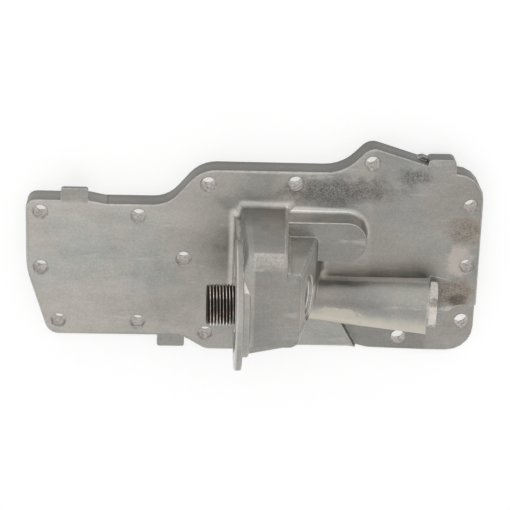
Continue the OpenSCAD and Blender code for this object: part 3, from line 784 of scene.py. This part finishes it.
def steel_material(key, at, axis, metallic=1.0, edge=0.0003):
    """Turned steel: fine rings round its axis, uneven tone, lighter edges that are partly wear and
    partly painted highlight, and a thin layer of oil.
    """
    name, colour, rough, tone, rings, depth, oil = STEELS[key]
    n = Nodes(name)
    soft, wear_and_highlight = n.rounded(edge)
    mottle = n.noise(2.5, 4, 0.6)
    layer = n.both(n.span(n.noise(1.4, 4, 0.65), 0.45, 0.7), oil)
    marks = plug_shade_and_stain(n, mottle) if key == "regulator_plug" else ()
    lighter = tuple(min(1.0, c * 1.5 + 0.12) for c in colour)
    body = n.coats(n.toned(colour, n.span(mottle, 0.25, 0.75, *tone)),
                   (layer, STEEL_OIL), *marks, (n.both(wear_and_highlight, 0.45), lighter))
    ring = n.math("SINE", n.both(n.from_axis(at, axis), rings))
    height = n.total(n.both(ring, 0.5), n.noise(0.7, 3, 0.6))
    rough = n.span(mottle, 0.2, 0.8, rough - 0.06, rough + 0.1)
    return n.finish(body, rough, n.bump(height, depth, soft), metallic)


def nipple_material(r, depth):
    """Dark thread steel: bright rubbed crests, black oil in the roots and brown blotches.
    Painted light over it is lightest at the two flanks that the room's light meets, with painted
    shade between them."""
    n = Nodes("Dark nipple steel")
    patch = n.noise(5, 4, 0.6)
    uneven = n.both(n.math("SUBTRACT", n.noise(2.2, 4, 0.65), 0.5), 0.9)
    high = n.total(n.from_axis((0, HEAD_Y, HEAD_Z), (1, 0, 0)), uneven)
    crests = n.span(high, r - 0.45 * depth, r - 0.05)
    bare = n.mix(n.span(patch, 0.42, 0.66), THREAD_CREST, THREAD_RUST)
    _, y, z = n.parts(n.co)
    lean_y, lean_z = 0.936, 0.351
    across = n.math("SUBTRACT", n.both(n.math("SUBTRACT", y, HEAD_Y), lean_y),
                    n.both(n.math("SUBTRACT", z, HEAD_Z), lean_z))
    # Painted light and shade in bands across the direction that is up in the camera's view
    layer = n.curve(across, (-12.5, 1.5), (-9, 1.15), (-4.5, 1.0), (-1.5, 0.5), (1.8, 0.5),
                   (5, 1.2), (9, 1.3), (12.5, 0.8))
    body = n.mix(crests, THREAD_ROOT, n.toned(bare, layer))
    rough = n.span(patch, 0.2, 0.8, 0.24, 0.42)
    return n.finish(body, rough, n.bump(n.noise(0.8, 3, 0.6), 0.00003), 0.9)


def dress(obj, body, slot, material, *nodes):
    """Gives a new piece its material and body, and hides the nodes that it stands for. The slot is
    not used.
    """
    obj.data.materials.append(material)
    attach(obj, body)
    if nodes:
        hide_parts(*nodes)


def paint(node, material):
    """Gives a node of the frame its material."""
    if not NODE[node].material_slots:
        NODE[node].data.materials.append(material)
    for slot in NODE[node].material_slots:
        slot.material = material


# ---------------------------------------------------------------- studio


def area_light(name, at, to, size, power):
    """Soft lamp at one place, facing another."""
    data = bpy.data.lights.new(name, "AREA")
    data.shape = "RECTANGLE"
    data.size, data.size_y = size
    data.energy = power
    obj = bpy.data.objects.new(name, data)
    bpy.context.scene.collection.objects.link(obj)
    obj.location = at
    obj.rotation_mode = "QUATERNION"
    obj.rotation_quaternion = (Vector(to) - Vector(at)).to_track_quat("-Z", "Y")


def seen_rays(tree):
    """1 for a ray that comes from the camera, a reflection or clear stuff, else 0."""
    path = tree.nodes.new("ShaderNodeLightPath")
    total = path.outputs["Is Camera Ray"]
    for kind in ("Is Glossy Ray", "Is Transmission Ray"):
        both = tree.nodes.new("ShaderNodeMath")
        both.operation = "MAXIMUM"
        tree.links.new(total, both.inputs[0])
        tree.links.new(path.outputs[kind], both.inputs[1])
        total = both.outputs[0]
    return total


def pale_floor():
    """Wide square floor whose paper also glows a little for the rays that see it."""
    mesh = bpy.data.meshes.new("floor")
    s, z = 4.0, -0.0002
    mesh.from_pydata([(-s, -s, z), (s, -s, z), (s, s, z), (-s, s, z)], [], [(0, 1, 2, 3)])
    floor = bpy.data.objects.new("floor", mesh)
    bpy.context.scene.collection.objects.link(floor)
    mat = bpy.data.materials.new("Pale floor")
    mat.use_nodes = True
    tree = mat.node_tree
    tree.nodes.clear()
    paper = tree.nodes.new("ShaderNodeBsdfDiffuse")
    paper.inputs["Color"].default_value = (0.82, 0.82, 0.82, 1)
    glow = tree.nodes.new("ShaderNodeEmission")
    glow.inputs["Color"].default_value = (1, 1, 1, 1)
    both = tree.nodes.new("ShaderNodeAddShader")
    seen = tree.nodes.new("ShaderNodeMath")
    seen.operation = "MULTIPLY"
    seen.inputs[1].default_value = 0.62
    out = tree.nodes.new("ShaderNodeOutputMaterial")
    tree.links.new(seen_rays(tree), seen.inputs[0])
    tree.links.new(seen.outputs[0], glow.inputs["Strength"])
    tree.links.new(paper.outputs[0], both.inputs[0])
    tree.links.new(glow.outputs[0], both.inputs[1])
    tree.links.new(both.outputs[0], out.inputs["Surface"])
    mesh.materials.append(mat)
    return floor


def room(strength):
    """World with an even light of some strength, which is plain white where it is seen."""
    world = bpy.data.worlds.new("Room")
    world.use_nodes = True
    tree = world.node_tree
    tree.nodes.clear()
    mix = tree.nodes.new("ShaderNodeMixShader")
    tree.links.new(seen_rays(tree), mix.inputs[0])
    for socket, power in ((1, strength), (2, 1.0)):
        sky = tree.nodes.new("ShaderNodeBackground")
        sky.inputs["Color"].default_value = (1, 1, 1, 1)
        sky.inputs["Strength"].default_value = power
        tree.links.new(sky.outputs[0], mix.inputs[socket])
    out = tree.nodes.new("ShaderNodeOutputWorld")
    tree.links.new(mix.outputs[0], out.inputs["Surface"])
    return world


def camera_of(lens):
    """Camera at the photograph's viewing angle, on axes made square to each other."""
    data = bpy.data.cameras.new("Camera")
    data.lens = lens
    data.sensor_width = 36.0
    data.clip_start, data.clip_end = 0.05, 20.0
    camera = bpy.data.objects.new("Camera", data)
    bpy.context.scene.collection.objects.link(camera)
    right = Vector(CAMERA_RIGHT).normalized()
    back = Vector(CAMERA_BACK).normalized()
    up = back.cross(right).normalized()
    right = up.cross(back)
    turn = Matrix((right, up, back)).transposed()
    camera.matrix_world = Matrix.Translation(CAMERA_AT) @ turn.to_4x4()
    return camera


# ---------------------------------------------------------------- operators


class HOUSING_OT_studio(bpy.types.Operator):
    """Sets the pale floor, the soft lights, the room and the camera"""
    bl_idname = "housing.studio"
    bl_label = "Studio"

    def execute(self, context):
        p = context.scene.studio_settings
        pale_floor()
        for name, at, to, size, setting in LAMPS:
            area_light(name, at, to, size, getattr(p, setting))
        context.scene.world = room(p.sky)
        context.scene.view_settings.view_transform = "Standard"
        context.scene.camera = camera_of(p.lens)
        return {"FINISHED"}


class HOUSING_OT_casting(bpy.types.Operator):
    """Joins a copy of the casting, marks its cut faces and gives it the stained skin with painted
    light and shade
    """
    bl_idname = "housing.casting"
    bl_label = "Casting"

    def execute(self, context):
        obj = joined_copy("casting", "housing")
        share = obj.data.attributes.new("machined", "FLOAT", "FACE")
        share.data.foreach_set("value", machined_faces(obj.data))
        skin = casting_material(context.scene.cast_finish)
        dress(obj, "housing", "cast_aluminium", skin, "housing")
        return {"FINISHED"}


class HOUSING_OT_filter_thread(bpy.types.Operator):
    """Cuts the filter's thread on the nipple"""
    bl_idname = "housing.filter_thread"
    bl_label = "Filter thread"

    def execute(self, context):
        p = context.scene.thread_sizes
        lo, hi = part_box("filter_nipple")
        r = (hi.z - lo.z) / 2 / MM - 0.01
        x, radius = filter_thread_rows(p, lo.x / MM, hi.x / MM, r)
        obj = tube_of_rings("threaded_nipple", x, radius, (0, HEAD_Y, HEAD_Z), (1, 0, 0))
        dress(obj, "housing", "dark_steel", nipple_material(r, p.depth / MM), "filter_nipple")
        return {"FINISHED"}


class HOUSING_OT_port_thread(bpy.types.Operator):
    """Cuts the thread in the side port"""
    bl_idname = "housing.port_thread"
    bl_label = "Port thread"

    def execute(self, context):
        axis = tilted(PORT_TILT)
        x, radius = port_thread_rows(context.scene.thread_sizes)
        obj = tube_of_rings("port_thread", x, radius, PORT_AT, axis)
        metal = steel_material("port", PORT_AT, axis, metallic=0.9, edge=0.0001)
        dress(obj, "housing", "cast_aluminium", metal)
        return {"FINISHED"}


class HOUSING_OT_regulator(bpy.types.Operator):
    """Finishes the hex plug, its washer, the plunger and the spring"""
    bl_idname = "housing.regulator"
    bl_label = "Regulator"

    def execute(self, context):
        at, axis = PLUG_AT, tilted(PLUG_TILT)
        for node in ("regulator_plug", "regulator_washer", "regulator_plunger"):
            paint(node, steel_material(node, at, axis))
        sprung_coil("regulator_coil", "regulator_spring", at, axis)
        return {"FINISHED"}


class HOUSING_OT_bypass(bpy.types.Operator):
    """Finishes the bypass valve's cage, disc, spring and clip"""
    bl_idname = "housing.bypass"
    bl_label = "Bypass valve"

    def execute(self, context):
        at, axis = (0, HEAD_Y, BYPASS_Z), (1, 0, 0)
        for node in ("bypass_cage", "bypass_disc", "bypass_clip"):
            paint(node, steel_material(node, at, axis))
        sprung_coil("bypass_coil", "bypass_spring", at, axis)
        return {"FINISHED"}


class HOUSING_PT_panel(bpy.types.Panel):
    """Lists the steps and the settings of the housing's looks"""
    bl_idname = "HOUSING_PT_panel"
    bl_label = "Oil filter housing"
    bl_space_type = "VIEW_3D"
    bl_region_type = "UI"
    bl_category = "Housing"

    def draw(self, context):
        for step in STEPS:
            self.layout.operator(step.bl_idname)
        for group in GROUPS:
            settings = getattr(context.scene, group)
            box = self.layout.box()
            for key in settings.bl_rna.properties.keys():
                if key not in {"rna_type", "name"}:
                    box.prop(settings, key)


GROUPS = {
    "cast_finish": CastFinish,
    "thread_sizes": ThreadSizes,
    "studio_settings": StudioSettings,
}
STEPS = (
    HOUSING_OT_studio, HOUSING_OT_casting, HOUSING_OT_filter_thread, HOUSING_OT_port_thread,
    HOUSING_OT_regulator, HOUSING_OT_bypass,
)


def register():
    for cls in (*GROUPS.values(), *STEPS, HOUSING_PT_panel):
        bpy.utils.register_class(cls)
    for key, cls in GROUPS.items():
        setattr(bpy.types.Scene, key, PointerProperty(type=cls))


def unregister():
    for key in GROUPS:
        delattr(bpy.types.Scene, key)
    for cls in reversed((*GROUPS.values(), *STEPS, HOUSING_PT_panel)):
        bpy.utils.unregister_class(cls)


def main():
    register()
    for step in STEPS:
        group, name = step.bl_idname.split(".")
        getattr(getattr(bpy.ops, group), name)()
    bpy.context.view_layer.update()


if __name__ == "__main__":
    main()
